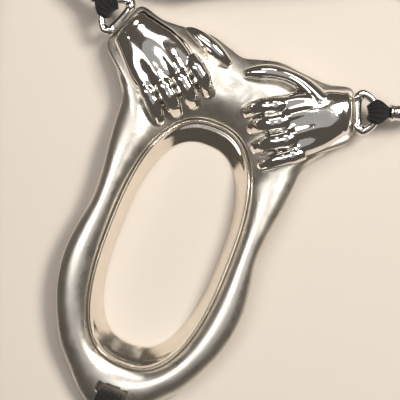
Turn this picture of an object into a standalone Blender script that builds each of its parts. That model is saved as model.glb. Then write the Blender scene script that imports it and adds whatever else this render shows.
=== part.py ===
"""A cast metal body-jewellery front piece with two sculpted hands, hung on three elastic straps.

The piece lies flat, +Z up, +Y from the tail slot towards the hands, +X to the right.  The origin is the
middle of the metalwork's footprint.  The outline points below are counted from the middle of the oval
opening, and DATUM_Y carries them to the origin.
"""

import math

import bmesh
import bpy
import numpy as np
from mathutils import Matrix

MM = 0.001
GAP = 0.3 * MM
DATUM_Y = -2.72 * MM

# Oval opening: a superellipse
OPENING_A = 14.9 * MM
OPENING_B = 30.4 * MM
OPENING_POWER = 2.5
OPENING_Y = -0.8 * MM

# Frame plate: a domed, arched band between the opening and the outline
CREST_Z = 8.4 * MM
ARCH_DROP = 3.6 * MM
ARCH_HALF = 44.0 * MM
DOME = 1.6 * MM
DOME_POWER = 2.2
EDGE_WALL = 1.0 * MM
MIDDLE_WALL = 2.2 * MM
ROLL_DROP = 2.4 * MM
ROLL_SHARE = 0.6
AROUND = 72
ACROSS = 8
# x and y of the right half of the outline, and the angle on the oval that each point faces
OUTLINE = [
    (0.0, -43.4, -90), (6.5, -40.2, -75), (11.2, -35.4, -62), (14.8, -31.3, -52), (17.8, -26.0, -42),
    (20.0, -20.7, -33), (21.4, -15.0, -24), (21.8, -9.0, -14), (21.2, -3.0, -5), (20.4, 3.0, 4),
    (20.6, 9.0, 12), (21.4, 15.5, 21), (21.9, 21.0, 29), (22.6, 27.0, 36), (26.0, 32.2, 43),
    (30.4, 37.4, 50), (28.6, 43.0, 56), (26.4, 48.3, 62), (20.5, 47.3, 67), (14.5, 47.6, 72),
    (8.0, 48.0, 79), (3.5, 46.8, 85), (0.0, 45.9, 90),
]

# Tail slot, for the rear strap
SLOT_WIDTH = 7.6 * MM
SLOT_TOP_Y = -35.9 * MM
SLOT_LOW_Y = -38.5 * MM
SLOT_ROUND = 1.1 * MM

# Polished sleeve inside the opening
SLEEVE_WALL = 0.9 * MM
LIP_RISE = 0.2 * MM
LIP_HALF = 0.4 * MM
SLEEVE_IN_SIDES = 3.0 * MM
SLEEVE_IN_ENDS = 5.6 * MM
# The wall's half-way row: its height as a share of the rim's, and how much of the draw it has at sides and ends
WAIST_HEIGHT = 0.45
WAIST_SIDES = 0.72
WAIST_ENDS = 0.62

# Hands, right one; the left one is its mirror image.  Sections from wrist to knuckles:
# middle x, y, the half width towards the forefinger as x, y, and the top's height
PALM = [
    (27.6, 42.8, -1.7, 4.6, 9.3), (25.0, 41.1, -2.5, 5.2, 9.9), (21.5, 38.4, -3.4, 5.8, 10.4),
    (18.4, 35.9, -4.1, 5.7, 10.7), (15.9, 33.8, -4.4, 5.3, 10.2), (13.9, 32.4, -4.2, 4.7, 8.4),
]
PALM_SINK = 1.1 * MM
PALM_POWER = 2.3
# Each finger: knuckle, middle joint, end joint and tip, as x, y, z and radius
FINGERS = [
    [(13.2, 39.0, 8.4, 1.6), (8.6, 36.6, 8.6, 1.6), (6.4, 35.1, 7.2, 1.45), (5.3, 34.3, 5.6, 1.1)],
    [(15.4, 36.2, 8.6, 1.65), (10.9, 33.4, 8.9, 1.65), (8.7, 31.9, 7.5, 1.5), (7.6, 31.1, 5.7, 1.15)],
    [(18.0, 33.2, 8.6, 1.6), (13.8, 30.1, 8.8, 1.6), (11.5, 28.3, 7.5, 1.45), (10.5, 27.4, 5.8, 1.1)],
    [(20.2, 30.6, 8.3, 1.45), (16.6, 27.1, 8.4, 1.45), (14.5, 25.1, 7.4, 1.3), (13.5, 24.2, 6.2, 1.0)],
]
THUMB = [(19.5, 43.0, 7.3, 2.2), (14.8, 44.8, 6.4, 1.8), (10.6, 45.2, 6.1, 1.7), (6.2, 44.3, 6.0, 1.7),
         (2.8, 42.9, 5.8, 1.1)]
PEGS = [(24.6, 40.9), (18.2, 36.0)]
PEG_RADIUS = 0.8 * MM
PEG_TOP_Z = 7.4 * MM
PEG_LOW_Z = 2.9 * MM

# Strap eyes: round wire bent to a D, at the end of each wrist
WRIST = (27.8 * MM, 42.9 * MM)
WRIST_ANGLE = math.radians(21)
EYE_OUT = 1.5 * MM
EYE_Z = 6.2 * MM
RING_RADIUS = 4.5 * MM
WIRE_RADIUS = 0.9 * MM
EYE_ARC = math.radians(76)
EYE_BACK = 3.5 * MM

# Elastic loops and the ferrules that close them
LOOP_RADIUS = 2.0 * MM
LOOP_ARC = math.radians(36)
NECK_HALF = 1.15 * MM
NECK_START = RING_RADIUS + 1.4 * MM
FERRULE_START = RING_RADIUS + 3.0 * MM
FERRULE_LENGTH = 6.0 * MM
FERRULE_RADIUS = 2.05 * MM
FERRULE_WALL = 0.45 * MM
RIM_ROUND = 0.2 * MM
SAME_PLACE = 0.01 * MM
FERRULE_SIDES = 16
TAIL_LENGTH = FERRULE_START - NECK_START + 1.5 * MM

# Rear loop, round the bar of metal below the slot
REAR_LOOP_WIDTH = 6.0 * MM
REAR_LOOP_WALL = 0.9 * MM
BAR_LOW_Z = 1.9 * MM
BAR_TOP_Z = 6.0 * MM
REAR_Z = 3.4 * MM
REAR_FERRULE_Y = -46.6 * MM
REAR_LOW_Y = OUTLINE[0][1] * MM - GAP
REAR_OUTER_ROUND = 1.6 * MM
REAR_INNER_ROUND = 0.8 * MM

# Elastic, laid on edge, and the roll of what is put away
BAND_HEIGHT = 6.0 * MM
BAND_THICK = 1.0 * MM
BAND_CORNER = 0.25 * MM
ROLL_MIDDLE = (-32.0 * MM, 78.0 * MM)
ROLL_CLEAR = 0.7 * MM
ROLL_INNER = FERRULE_START + FERRULE_LENGTH + ROLL_CLEAR
ROLL_OUTER = ROLL_INNER + 11.8 * MM
ROLL_SIDES = 48
BACK_RING_Z = 2.5 * MM
RING_STEPS = 28
BACK_ANGLES = (math.radians(90), math.radians(210), math.radians(330))

SILVER = (0.78, 0.76, 0.72)
SATIN = (0.72, 0.70, 0.66)
BLACK = (0.02, 0.02, 0.022)


def clear_scene():
    for old in list(bpy.data.objects):
        bpy.data.objects.remove(old)


def collection(name):
    made = bpy.data.collections.new(name)
    bpy.context.scene.collection.children.link(made)
    return made


def finish_of(name, colour, roughness, metallic):
    material = bpy.data.materials.new(name)
    material.use_nodes = True
    shader = material.node_tree.nodes["Principled BSDF"]
    shader.inputs["Base Color"].default_value = (*colour, 1.0)
    shader.inputs["Roughness"].default_value = roughness
    shader.inputs["Metallic"].default_value = metallic
    return material


def placed(points):
    """Points counted from the opening's datum, carried to the part's origin."""
    return np.asarray(points, float) + (0.0, DATUM_Y, 0.0)


def add_mesh(name, points, faces, into):
    mesh = bpy.data.meshes.new(name)
    mesh.from_pydata([tuple(p) for p in points], [], faces)
    obj = bpy.data.objects.new(name, mesh)
    into.objects.link(obj)
    tidy = bmesh.new()
    tidy.from_mesh(mesh)
    bmesh.ops.recalc_face_normals(tidy, faces=tidy.faces)
    tidy.to_mesh(mesh)
    tidy.free()
    return obj


def dress(obj, material):
    obj.data.materials.clear()
    obj.data.materials.append(material)
    if obj.type == "MESH":
        obj.data.shade_smooth()
        obj.data.set_sharp_from_angle(angle=math.radians(35))


def oval(angle, inset_sides=0.0, inset_ends=0.0):
    """The opening's superellipse at an angle, drawn in by so much at its sides and ends."""
    c, s = np.cos(angle), np.sin(angle)
    x = (OPENING_A - inset_sides) * np.sign(c) * np.abs(c) ** (2 / OPENING_POWER)
    y = (OPENING_B - inset_ends) * np.sign(s) * np.abs(s) ** (2 / OPENING_POWER)
    return x, y + OPENING_Y


def smooth_through(rows, count, closed):
    """count points on a Catmull-Rom curve through the rows, one row apart at equal steps."""
    rows = np.asarray(rows, float)
    n = len(rows)
    t = np.arange(count) * (n / count) if closed else np.linspace(0, n - 1, count)
    i = np.minimum(t.astype(int), n - 1 if closed else n - 2)
    u = (t - i)[:, None]
    ends = np.vstack([2 * rows[0] - rows[1], rows, 2 * rows[-1] - rows[-2]])

    def at(k):
        return rows[(i + k) % n] if closed else ends[i + k + 1]

    a, b, c, d = at(-1), at(0), at(1), at(2)
    return 0.5 * (2 * b + (c - a) * u + (2 * a - 5 * b + 4 * c - d) * u**2 + (3 * b - a - 3 * c + d) * u**3)


def outline_and_angles():
    """The whole outline with the oval angle that each point faces, anticlockwise from the tip."""
    right = [(x, y, angle) for x, y, angle in OUTLINE]
    left = [(-x, y, 180 - angle) for x, y, angle in OUTLINE[-2:0:-1]]
    rows = np.array(right + left, float)
    steps = np.vstack([rows, rows[:1] + (0, 0, 360)])
    dense = smooth_through(np.vstack([steps[-2] - (0, 0, 360), steps, steps[1] + (0, 0, 360)]), 4000, False)
    low, high = -90.0, 270.0
    wanted = np.linspace(low, high, AROUND, endpoint=False)
    x = np.interp(wanted, dense[:, 2], dense[:, 0])
    y = np.interp(wanted, dense[:, 2], dense[:, 1])
    return x * MM, y * MM, np.radians(wanted)


def roll_weight(angle):
    """0 along the rails and 1 at the top end, where the plate rolls down into the opening."""
    t = np.clip((np.sin(angle) - 0.55) / 0.40, 0, 1)
    return t * t * (3 - 2 * t)


def arch_height(y):
    """The height of the plate's crest, which is highest beside the opening's middle."""
    return CREST_Z - ARCH_DROP * (y / ARCH_HALF) ** 2


def plate_top(y, share, angle):
    """The plate's upper face: an arch along Y, a dome across the band, and the roll at the top end."""
    arch = arch_height(y)
    dome = DOME * np.abs(2 * share - 1) ** DOME_POWER
    roll = ROLL_DROP * roll_weight(angle) * np.clip(1 - share / ROLL_SHARE, 0, 1) ** 2
    return arch - dome - roll


def lip_height(angle):
    """The height of the plate's inner edge."""
    _, y = oval(angle)
    return plate_top(y, 0.0, angle)


def ring_solid(name, rings, into):
    """A closed solid through rings of points, the last joined to the first."""
    rings = np.asarray(rings)
    around, count = rings.shape[0], rings.shape[1]
    faces = []
    for i in range(around):
        for j in range(count):
            a, b = i * count + j, i * count + (j + 1) % count
            c, d = ((i + 1) % around) * count + (j + 1) % count, ((i + 1) % around) * count + j
            faces.append((a, b, c, d))
    return add_mesh(name, placed(rings.reshape(-1, 3)), faces, into)


def capped_solid(name, rings, into, mirrored=False):
    """A closed solid through rings of points, with a flat cap on the first and the last."""
    rings = np.asarray(rings) * ((-1, 1, 1) if mirrored else (1, 1, 1))
    length, count = rings.shape[0], rings.shape[1]
    faces = [tuple(range(count))[::-1], tuple(range((length - 1) * count, length * count))]
    for i in range(length - 1):
        for j in range(count):
            a, b = i * count + j, i * count + (j + 1) % count
            faces.append((a, b, b + count, a + count))
    return add_mesh(name, placed(rings.reshape(-1, 3)), faces, into)


def plate_solid(name, into, swell=0.0):
    """The frame plate without its slot and holes; swell thickens it all round, for a cutter."""
    x, y, angle = outline_and_angles()
    inner_x, inner_y = oval(angle, swell, swell)
    across = np.hypot(x - inner_x, y - inner_y)
    rings = []
    for k in range(len(x)):
        share = np.linspace(0, 1, ACROSS)
        reach = share * (1 + swell / across[k])
        px = inner_x[k] + (x[k] - inner_x[k]) * reach
        py = inner_y[k] + (y[k] - inner_y[k]) * reach
        top = plate_top(py, share, angle[k]) + swell
        wall = EDGE_WALL + (MIDDLE_WALL - EDGE_WALL) * (1 - (2 * share - 1) ** 2) + 2 * swell
        upper = np.stack([px, py, top], axis=1)
        lower = np.stack([px, py, top - wall], axis=1)[::-1]
        rings.append(np.vstack([upper, lower]))
    return ring_solid(name, rings, into)


def boolean(obj, cutter, operation="DIFFERENCE"):
    step = obj.modifiers.new(operation.lower(), "BOOLEAN")
    step.operation = operation
    step.object = cutter
    step.solver = "EXACT"


def bake(obj):
    """Puts the result of an object's modifiers in its mesh and drops them."""
    graph = bpy.context.evaluated_depsgraph_get()
    mesh = bpy.data.meshes.new_from_object(obj.evaluated_get(graph))
    obj.modifiers.clear()
    obj.data = mesh


def drop(*objects):
    for obj in objects:
        bpy.data.objects.remove(obj)


def hide(obj, cutters):
    for holder in list(obj.users_collection):
        holder.objects.unlink(obj)
    cutters.objects.link(obj)
    obj.hide_render = True
    obj.display_type = "WIRE"


def peg_cylinder(name, x, y, radius, low, high, into):
    """An upright round bar at a place counted from the opening's datum."""
    made = bmesh.new()
    bmesh.ops.create_cone(made, cap_ends=True, segments=16, radius1=radius, radius2=radius, depth=high - low)
    mesh = bpy.data.meshes.new(name)
    made.to_mesh(mesh)
    made.free()
    obj = bpy.data.objects.new(name, mesh)
    into.objects.link(obj)
    obj.location = placed([x, y, (low + high) / 2])
    return obj


def make_plate(parts, cutters, metal):
    plate = plate_solid("frame_plate", parts)
    bpy.ops.mesh.primitive_cube_add(size=1)
    slot = bpy.context.object
    slot.name = "slot_cutter"
    height = 4 * CREST_Z
    slot.data.transform(Matrix.Diagonal((SLOT_WIDTH, SLOT_TOP_Y - SLOT_LOW_Y, height, 1)))
    slot.location = placed([0, (SLOT_TOP_Y + SLOT_LOW_Y) / 2, 0])
    corner = slot.modifiers.new("corner", "BEVEL")
    corner.width = SLOT_ROUND
    corner.segments = 4
    hide(slot, cutters)
    boolean(plate, slot)
    for side in (-1, 1):
        for n, (x, y) in enumerate(PEGS):
            hole = peg_cylinder(f"peg_hole_{side}_{n}", side * x * MM, y * MM, PEG_RADIUS + GAP,
                                0.0, PEG_TOP_Z + GAP, cutters)
            hide(hole, cutters)
            boolean(plate, hole)
    dress(plate, metal)
    return plate


def make_sleeve(parts, metal):
    angle = np.radians(np.linspace(-90, 270, AROUND, endpoint=False))
    rim = lip_height(angle)
    waist_sides, waist_ends = SLEEVE_IN_SIDES * WAIST_SIDES, SLEEVE_IN_ENDS * WAIST_ENDS
    lip_middle, lip_end = GAP + LIP_HALF, GAP + 2 * LIP_HALF
    rows = [
        (GAP, GAP, rim - 4 * LIP_HALF), (GAP, GAP, rim - LIP_RISE),
        (lip_middle, lip_middle, rim + LIP_RISE), (lip_end, lip_end, rim - LIP_RISE),
        (waist_sides, waist_ends, rim * WAIST_HEIGHT), (SLEEVE_IN_SIDES, SLEEVE_IN_ENDS, 0 * rim),
        (SLEEVE_IN_SIDES - SLEEVE_WALL, SLEEVE_IN_ENDS - SLEEVE_WALL, 0 * rim),
        (waist_sides - SLEEVE_WALL, waist_ends - SLEEVE_WALL, rim * WAIST_HEIGHT),
    ]
    rings = np.stack([np.stack([*oval(angle, sides, ends), z], axis=1) for sides, ends, z in rows], axis=1)
    sleeve = ring_solid("opening_sleeve", rings, parts)
    dress(sleeve, metal)
    return sleeve


def sleeve_swollen(cutters):
    """A block over the sleeve's lip, a clearance larger all round, that keeps the fingers off it."""
    angle = np.radians(np.linspace(-90, 270, AROUND, endpoint=False))
    rim = lip_height(angle)
    lip_end = 2 * LIP_HALF
    rows = [
        (-GAP, rim - 3 * LIP_HALF), (-GAP, rim + LIP_RISE), (LIP_HALF + GAP, rim + 2 * GAP),
        (lip_end + 2 * GAP, rim), (lip_end + 3 * GAP, rim - 3 * LIP_HALF),
    ]
    rings = np.stack([np.stack([*oval(angle, inset, inset), z], axis=1) for inset, z in rows], axis=1)
    return ring_solid("sleeve_cutter", rings, cutters)


def tube(name, points, radii, into, sides=3, closed=False):
    """A round bar along points, as a mesh, with its radius at each point."""
    data = bpy.data.curves.new(name, "CURVE")
    data.dimensions = "3D"
    data.bevel_depth = 1.0
    data.bevel_resolution = sides
    data.use_fill_caps = True
    spline = data.splines.new("POLY")
    spline.points.add(len(points) - 1)
    for point, place, radius in zip(spline.points, placed(points), radii):
        point.co = (*place, 1.0)
        point.radius = radius
    spline.use_cyclic_u = closed
    obj = bpy.data.objects.new(name + "_curve", data)
    into.objects.link(obj)
    mesh = bpy.data.meshes.new_from_object(obj.evaluated_get(bpy.context.evaluated_depsgraph_get()))
    tidy = bmesh.new()
    tidy.from_mesh(mesh)
    bmesh.ops.remove_doubles(tidy, verts=tidy.verts, dist=SAME_PLACE)
    bmesh.ops.recalc_face_normals(tidy, faces=tidy.faces)
    tidy.to_mesh(mesh)
    tidy.free()
    made = bpy.data.objects.new(name, mesh)
    made.matrix_world = obj.matrix_world
    into.objects.link(made)
    drop(obj)
    return made


def tapered_finger(name, rows, side, into):
    """A finger or thumb: a bar through its joints, rounded off at the tip."""
    through = smooth_through(rows, 4 * len(rows), False)
    tip, last = through[-1].copy(), through[-2]
    ahead = (tip[:3] - last[:3]) / np.linalg.norm(tip[:3] - last[:3])
    for share, width in ((0.6, 0.8), (0.95, 0.35)):
        row = np.append(tip[:3] + ahead * tip[3] * share, tip[3] * width)
        through = np.vstack([through, row])
    points = through[:, :3] * MM * (side, 1, 1)
    return tube(name, points, through[:, 3] * MM, into)


def make_hand(side, parts, cutters, metal, plate_cutter, sleeve_cutter):
    name = "right_hand" if side > 0 else "left_hand"
    turn = np.linspace(0, 2 * math.pi, 20, endpoint=False)
    c, s = np.cos(turn), np.sin(turn)
    wide = np.sign(c) * np.abs(c) ** (2 / PALM_POWER)
    tall = np.sign(s) * np.abs(s) ** (2 / PALM_POWER)
    rings = []
    for x, y, hx, hy, top in smooth_through(PALM, 11, False):
        under = arch_height(y * MM) - PALM_SINK
        middle = (top * MM + under) / 2
        half = (top * MM - under) / 2
        rings.append(np.stack([(x + hx * wide) * MM, (y + hy * wide) * MM, middle + half * tall], axis=1))
    hand = capped_solid(name, rings, parts, mirrored=side < 0)
    fingers = [tapered_finger(f"{name}_finger_{n}", rows, side, cutters) for n, rows in enumerate(FINGERS)]
    fingers.append(tapered_finger(f"{name}_thumb", THUMB, side, cutters))
    for finger in fingers:
        boolean(hand, finger, "UNION")
    bake(hand)
    drop(*fingers)
    boolean(hand, plate_cutter)
    boolean(hand, sleeve_cutter)
    for x, y in PEGS:
        hole = peg_cylinder("blind", side * x * MM, y * MM, PEG_RADIUS + GAP, 0.0, PEG_TOP_Z + GAP, cutters)
        boolean(hand, hole)
        bake(hand)
        drop(hole)
    dress(hand, metal)
    return hand


def make_pegs(parts, metal):
    for side, word in ((-1, "left"), (1, "right")):
        for (x, y), place in zip(PEGS, ("wrist", "palm")):
            peg = peg_cylinder(f"{word}_{place}_peg", side * x * MM, y * MM, PEG_RADIUS,
                               PEG_LOW_Z, PEG_TOP_Z, parts)
            dress(peg, metal)


def turned_to(points, middle, angle):
    """Points drawn round a middle with +X outwards, turned to an angle about Z and moved there."""
    points = np.asarray(points, float)
    c, s = math.cos(angle), math.sin(angle)
    x = points[:, 0] * c - points[:, 1] * s + middle[0]
    y = points[:, 0] * s + points[:, 1] * c + middle[1]
    return np.stack([x, y, points[:, 2] + middle[2]], axis=1)


def eye_place(side):
    """The middle of a strap eye's bow, and the way it faces."""
    x = WRIST[0] + EYE_OUT * math.cos(WRIST_ANGLE)
    y = WRIST[1] + EYE_OUT * math.sin(WRIST_ANGLE)
    angle = WRIST_ANGLE if side > 0 else math.pi - WRIST_ANGLE
    return (side * x, y, EYE_Z), angle


def make_eye(side, parts, metal):
    middle, angle = eye_place(side)
    arc = np.linspace(-EYE_ARC, EYE_ARC, 17)
    bow = np.stack([RING_RADIUS * np.cos(arc), RING_RADIUS * np.sin(arc), 0 * arc], axis=1)
    back = [(0.1 * MM, EYE_BACK, 0), (0, EYE_BACK / 3, 0), (0, -EYE_BACK / 3, 0), (0.1 * MM, -EYE_BACK, 0)]
    points = turned_to(np.vstack([bow, back]), middle, angle)
    name = "right_eye" if side > 0 else "left_eye"
    dress(tube(name, points, [WIRE_RADIUS] * len(points), parts, closed=True), metal)


def ring_arc(name, middle, angle, half_arc, radius, into, count=9):
    arc = np.linspace(-half_arc, half_arc, count)
    points = np.stack([RING_RADIUS * np.cos(arc), RING_RADIUS * np.sin(arc), 0 * arc], axis=1)
    return tube(name, turned_to(points, middle, angle), [radius] * count, into)


def make_loop(name, middle, angle, parts, cutters, cloth):
    """An elastic loop round a ring's wire, with a round tail that goes into its ferrule."""
    loop = ring_arc(name, middle, angle, LOOP_ARC, LOOP_RADIUS, parts)
    tail_points = turned_to([(NECK_START + TAIL_LENGTH * t, 0, 0) for t in (0, 0.5, 1)], middle, angle)
    tail = tube(name + "_tail", tail_points, [NECK_HALF] * 3, cutters)
    boolean(loop, tail, "UNION")
    bake(loop)
    bore = ring_arc(name + "_bore", middle, angle, LOOP_ARC * 1.4, WIRE_RADIUS + GAP, cutters, 13)
    boolean(loop, bore)
    bake(loop)
    drop(tail, bore)
    dress(loop, cloth)
    return loop


def make_ferrule(name, middle, angle, parts, metal, start=FERRULE_START):
    """A short turned tube with rounded rims, lying along +X before it is turned to its angle."""
    inner = FERRULE_RADIUS - FERRULE_WALL
    profile = [
        (FERRULE_RADIUS - RIM_ROUND, FERRULE_LENGTH), (FERRULE_RADIUS, FERRULE_LENGTH - RIM_ROUND),
        (FERRULE_RADIUS, RIM_ROUND), (FERRULE_RADIUS - RIM_ROUND, 0.0), (inner, 0.0), (inner, FERRULE_LENGTH),
    ]
    mesh = bpy.data.meshes.new(name)
    edges = [(k, (k + 1) % len(profile)) for k in range(len(profile))]
    mesh.from_pydata([(r, 0.0, z) for r, z in profile], edges, [])
    obj = bpy.data.objects.new(name, mesh)
    parts.objects.link(obj)
    turn = obj.modifiers.new("turn", "SCREW")
    turn.steps = FERRULE_SIDES
    turn.render_steps = FERRULE_SIDES
    turn.use_merge_vertices = True
    turn.merge_threshold = SAME_PLACE
    bake(obj)
    spin = obj.data
    coords = np.array([v.co for v in spin.vertices])
    lying = np.stack([coords[:, 2] + start, coords[:, 0], coords[:, 1]], axis=1)
    for vertex, place in zip(spin.vertices, placed(turned_to(lying, middle, angle))):
        vertex.co = place
    tidy = bmesh.new()
    tidy.from_mesh(spin)
    bmesh.ops.remove_doubles(tidy, verts=tidy.verts, dist=SAME_PLACE)
    bmesh.ops.recalc_face_normals(tidy, faces=tidy.faces)
    tidy.to_mesh(spin)
    tidy.free()
    dress(obj, metal)
    return obj


def make_back_ring(middle, parts, metal):
    turn = np.linspace(0, 2 * math.pi, RING_STEPS, endpoint=False)
    ring = np.stack([RING_RADIUS * np.cos(turn), RING_RADIUS * np.sin(turn), 0 * turn], axis=1)
    wire = [WIRE_RADIUS] * RING_STEPS
    dress(tube("back_ring", turned_to(ring, middle, 0.0), wire, parts, closed=True), metal)


def make_rear_loop(parts, cutters, cloth):
    """The elastic round the bar below the slot: a flat ring of band, 6 mm wide, with its tail."""
    inner_y = (REAR_LOW_Y, SLOT_LOW_Y + GAP)
    outer = rounded_box(inner_y[0] - REAR_LOOP_WALL, inner_y[1] + REAR_LOOP_WALL,
                        BAR_LOW_Z - REAR_LOOP_WALL, BAR_TOP_Z + REAR_LOOP_WALL, REAR_OUTER_ROUND)
    inner = rounded_box(inner_y[0], inner_y[1], BAR_LOW_Z, BAR_TOP_Z, REAR_INNER_ROUND)
    half = REAR_LOOP_WIDTH / 2
    loop = band_ring("rear_loop", outer, inner, half, parts)
    tail_points = [(0, REAR_LOW_Y - REAR_LOOP_WALL / 2, REAR_Z), (0, REAR_FERRULE_Y, REAR_Z),
                   (0, REAR_FERRULE_Y - 1.5 * MM, REAR_Z)]
    tail = tube("rear_tail", tail_points, [NECK_HALF] * 3, cutters)
    boolean(loop, tail, "UNION")
    bake(loop)
    drop(tail)
    dress(loop, cloth)
    return loop


def rounded_box(low_y, high_y, low_z, high_z, radius):
    """An outline in Y and Z: a rectangle with round corners, anticlockwise."""
    points = []
    for cy, cz, start in ((high_y - radius, high_z - radius, 0), (low_y + radius, high_z - radius, 90),
                          (low_y + radius, low_z + radius, 180), (high_y - radius, low_z + radius, 270)):
        for step in (0, 30, 60, 90):
            a = math.radians(start + step)
            points.append((cy + radius * math.cos(a), cz + radius * math.sin(a)))
    return points


def band_ring(name, outer, inner, half, into):
    """A closed band between two outlines of equal count, as wide as twice half along X."""
    count = len(outer)
    rings = []
    for k in range(count):
        (oy, oz), (iy, iz) = outer[k], inner[k]
        rings.append([(-half, oy, oz), (half, oy, oz), (half, iy, iz), (-half, iy, iz)])
    return ring_solid(name, rings, into)


def band_profile(cutters):
    """The elastic's section, as a bevel shape: thin across and tall upwards."""
    data = bpy.data.curves.new("band_section", "CURVE")
    data.dimensions = "2D"
    data.fill_mode = "NONE"
    spline = data.splines.new("POLY")
    half_x, half_y, cut = BAND_THICK / 2, BAND_HEIGHT / 2, BAND_CORNER
    right, left = half_x - cut, -half_x + cut
    top, low = half_y - cut, -half_y + cut
    corners = [(half_x, low), (half_x, top), (right, half_y), (left, half_y),
               (-half_x, top), (-half_x, low), (left, -half_y), (right, -half_y)]
    spline.points.add(len(corners) - 1)
    for point, (x, y) in zip(spline.points, corners[::-1]):
        point.co = (x, y, 0, 1)
    spline.use_cyclic_u = True
    obj = bpy.data.objects.new("band_section", data)
    cutters.objects.link(obj)
    obj.hide_render = True
    return obj


def make_strap(name, route, parts, section, cloth):
    """A strap on edge along its route, as a curve with the band's section."""
    data = bpy.data.curves.new(name, "CURVE")
    data.dimensions = "3D"
    data.twist_mode = "Z_UP"
    data.bevel_mode = "OBJECT"
    data.bevel_object = section
    data.use_fill_caps = True
    steps = smooth_through(route, 3 * len(route), False) * MM
    spline = data.splines.new("POLY")
    spline.points.add(len(steps) - 1)
    for point, place in zip(spline.points, placed(steps)):
        point.co = (*place, 1.0)
    obj = bpy.data.objects.new(name, data)
    parts.objects.link(obj)
    data.materials.append(cloth)
    return obj


def make_roll(parts, cloth):
    """The put-away length of all three straps, wound on edge: a turned ring."""
    profile = [(ROLL_OUTER, BAND_HEIGHT), (ROLL_OUTER, 0.0), (ROLL_INNER, 0.0), (ROLL_INNER, BAND_HEIGHT)]
    mesh = bpy.data.meshes.new("strap_roll")
    edges = [(k, (k + 1) % len(profile)) for k in range(len(profile))]
    mesh.from_pydata([(r, 0.0, z) for r, z in profile], edges, [])
    obj = bpy.data.objects.new("strap_roll", mesh)
    parts.objects.link(obj)
    obj.location = placed([*ROLL_MIDDLE, 0.0])
    turn = obj.modifiers.new("turn", "SCREW")
    turn.steps = ROLL_SIDES
    turn.render_steps = ROLL_SIDES
    turn.use_merge_vertices = True
    turn.merge_threshold = SAME_PLACE
    bake(obj)
    dress(obj, cloth)
    return obj


# Strap routes from the ferrules to the roll: x, y, z of the band's middle
LEFT_ROUTE = [(-42.9, 48.7, 5.6), (-47.4, 51.0, 4.0), (-51.2, 55.6, 3.1), (-54.0, 61.0, 3.1)]
RIGHT_ROUTE = [
    (42.9, 48.7, 5.6), (46.0, 51.6, 4.4), (46.4, 56.4, 3.4), (43.4, 63.0, 3.1), (38.8, 70.2, 3.1),
    (33.2, 75.4, 3.1), (26.0, 75.6, 3.1), (14.0, 70.0, 3.1), (1.0, 64.0, 3.1), (-10.0, 58.8, 3.1),
    (-18.4, 54.2, 3.1),
]
REAR_ROUTE = [
    (0.0, -53.0, 3.4), (-0.6, -56.6, 3.1), (-3.6, -59.2, 3.1), (-10.0, -58.4, 3.1), (-19.0, -54.8, 3.1),
    (-26.6, -49.6, 3.1), (-32.0, -37.0, 3.1), (-39.2, -19.0, 3.1), (-46.6, 0.0, 3.1), (-53.4, 18.0, 3.1),
    (-58.8, 34.0, 3.1), (-61.0, 46.0, 3.1), (-61.2, 58.0, 3.1), (-59.6, 69.0, 3.1),
]


def main():
    clear_scene()
    parts = collection("body_jewellery_front")
    cutters = collection("cutters")
    satin = finish_of("satin_silver", SATIN, 0.32, 1.0)
    bright = finish_of("bright_silver", SILVER, 0.08, 1.0)
    cloth = finish_of("black_elastic", BLACK, 0.8, 0.0)

    make_plate(parts, cutters, satin)
    make_sleeve(parts, bright)
    plate_cutter = plate_solid("plate_cutter", cutters, GAP * 1.2)
    sleeve_cutter = sleeve_swollen(cutters)
    for side in (-1, 1):
        make_hand(side, parts, cutters, bright, plate_cutter, sleeve_cutter)
        make_eye(side, parts, bright)
        middle, angle = eye_place(side)
        word = "right" if side > 0 else "left"
        make_loop(f"{word}_loop", middle, angle, parts, cutters, cloth)
        make_ferrule(f"{word}_ferrule", middle, angle, parts, bright)
    drop(plate_cutter, sleeve_cutter)
    make_pegs(parts, bright)
    make_rear_loop(parts, cutters, cloth)
    make_ferrule("rear_ferrule", (0, REAR_FERRULE_Y, REAR_Z), math.radians(-90), parts, bright, start=0.0)

    ring_middle = (*ROLL_MIDDLE, BACK_RING_Z)
    make_back_ring(ring_middle, parts, bright)
    for word, angle in zip(("left", "right", "rear"), BACK_ANGLES):
        make_loop(f"{word}_back_loop", ring_middle, angle, parts, cutters, cloth)
        make_ferrule(f"{word}_back_ferrule", ring_middle, angle, parts, bright)
    make_roll(parts, cloth)
    section = band_profile(cutters)
    for name, route in (("left_strap", LEFT_ROUTE), ("right_strap", RIGHT_ROUTE), ("rear_strap", REAR_ROUTE)):
        make_strap(name, route, parts, section, cloth)


main()
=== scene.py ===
"""Looks of a cast silver body-jewellery front piece: an arched oval frame held by two sculpted hands,
hung on three black elastic straps that meet at a small ring.  All places come from the CAD frame.
"""

import math

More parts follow.
